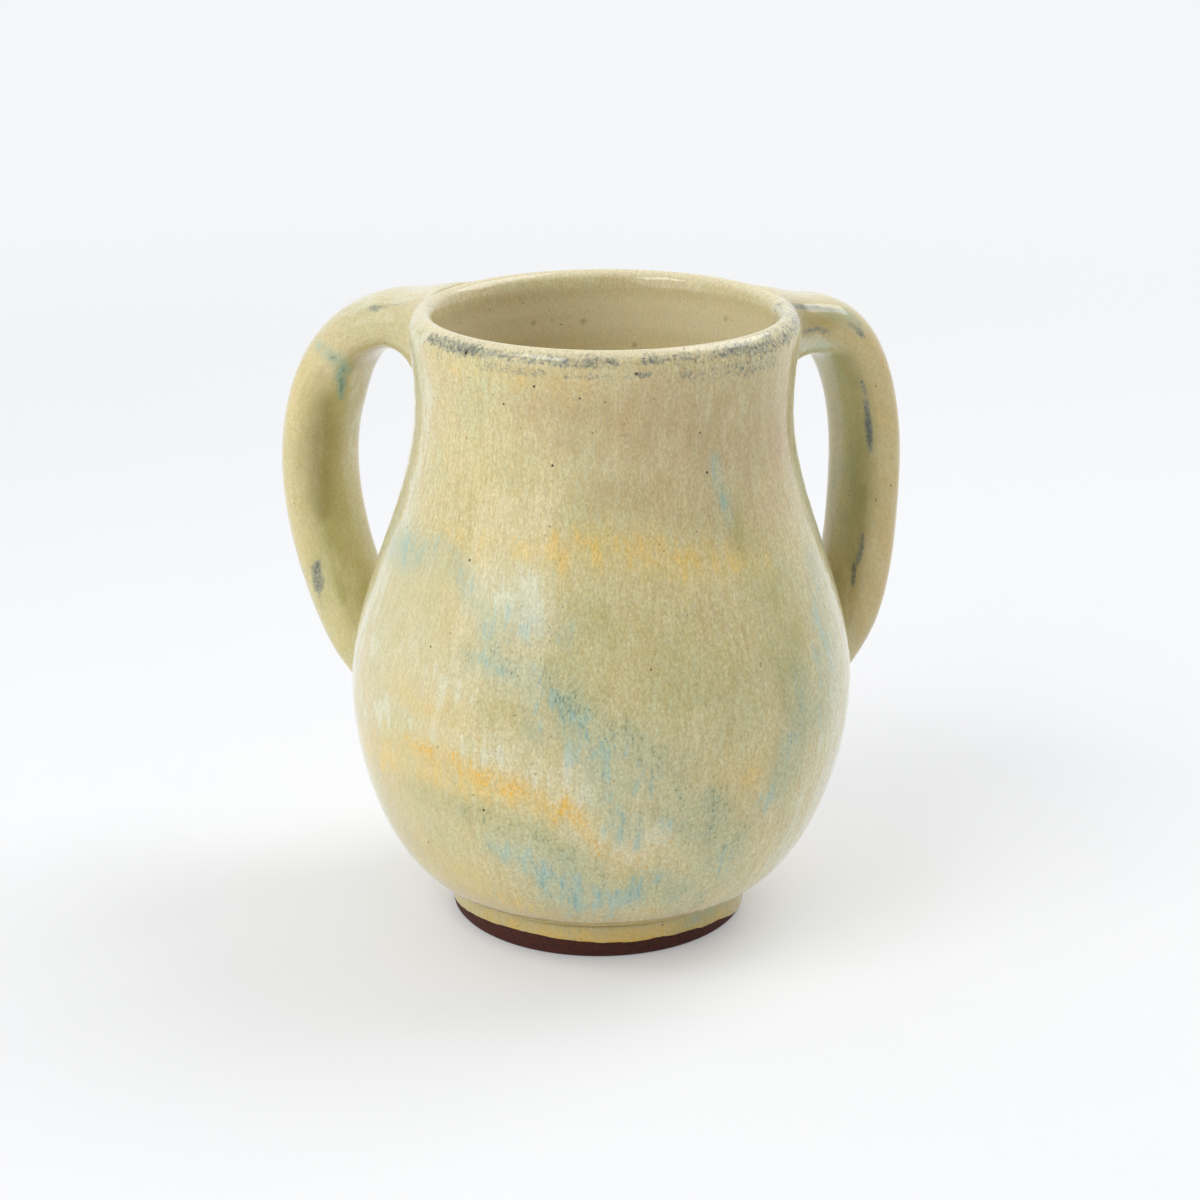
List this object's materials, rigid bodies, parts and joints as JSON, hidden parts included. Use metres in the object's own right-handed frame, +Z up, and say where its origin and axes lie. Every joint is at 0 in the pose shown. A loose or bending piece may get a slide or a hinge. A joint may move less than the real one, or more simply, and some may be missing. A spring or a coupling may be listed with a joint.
{
  "type": "hand washing cup",
  "caption": "Two-handled pear-shaped stoneware cup on a foot ring, for pouring water over the hands.",
  "frame": {"origin": "on the surface the cup stands on, at the centre of the foot ring, which is under the middle of the cup's bounding box", "axes": "+Z up along the cup's axis, out of the mouth; +X across the cup towards the right handle, along its greatest width over both handles; both handles lean back towards +Y"},
  "size_m": [0.1316, 0.1046, 0.13],
  "materials": {
    "body_glaze": "gloss, variegated cream, ochre and pale blue",
    "handle_glaze": "gloss, tan to olive with blue touches",
    "bare_clay": "unglazed red-brown stoneware, glazed above the foot line"
  },
  "bodies": {
    "root": {"cup_body": "body_glaze", "foot_ring": "bare_clay", "handle_left": "handle_glaze", "handle_right": "handle_glaze", "fillet_left_upper": "handle_glaze", "fillet_left_lower": "handle_glaze", "fillet_right_upper": "handle_glaze", "fillet_right_lower": "handle_glaze"}
  },
  "joints": []
}
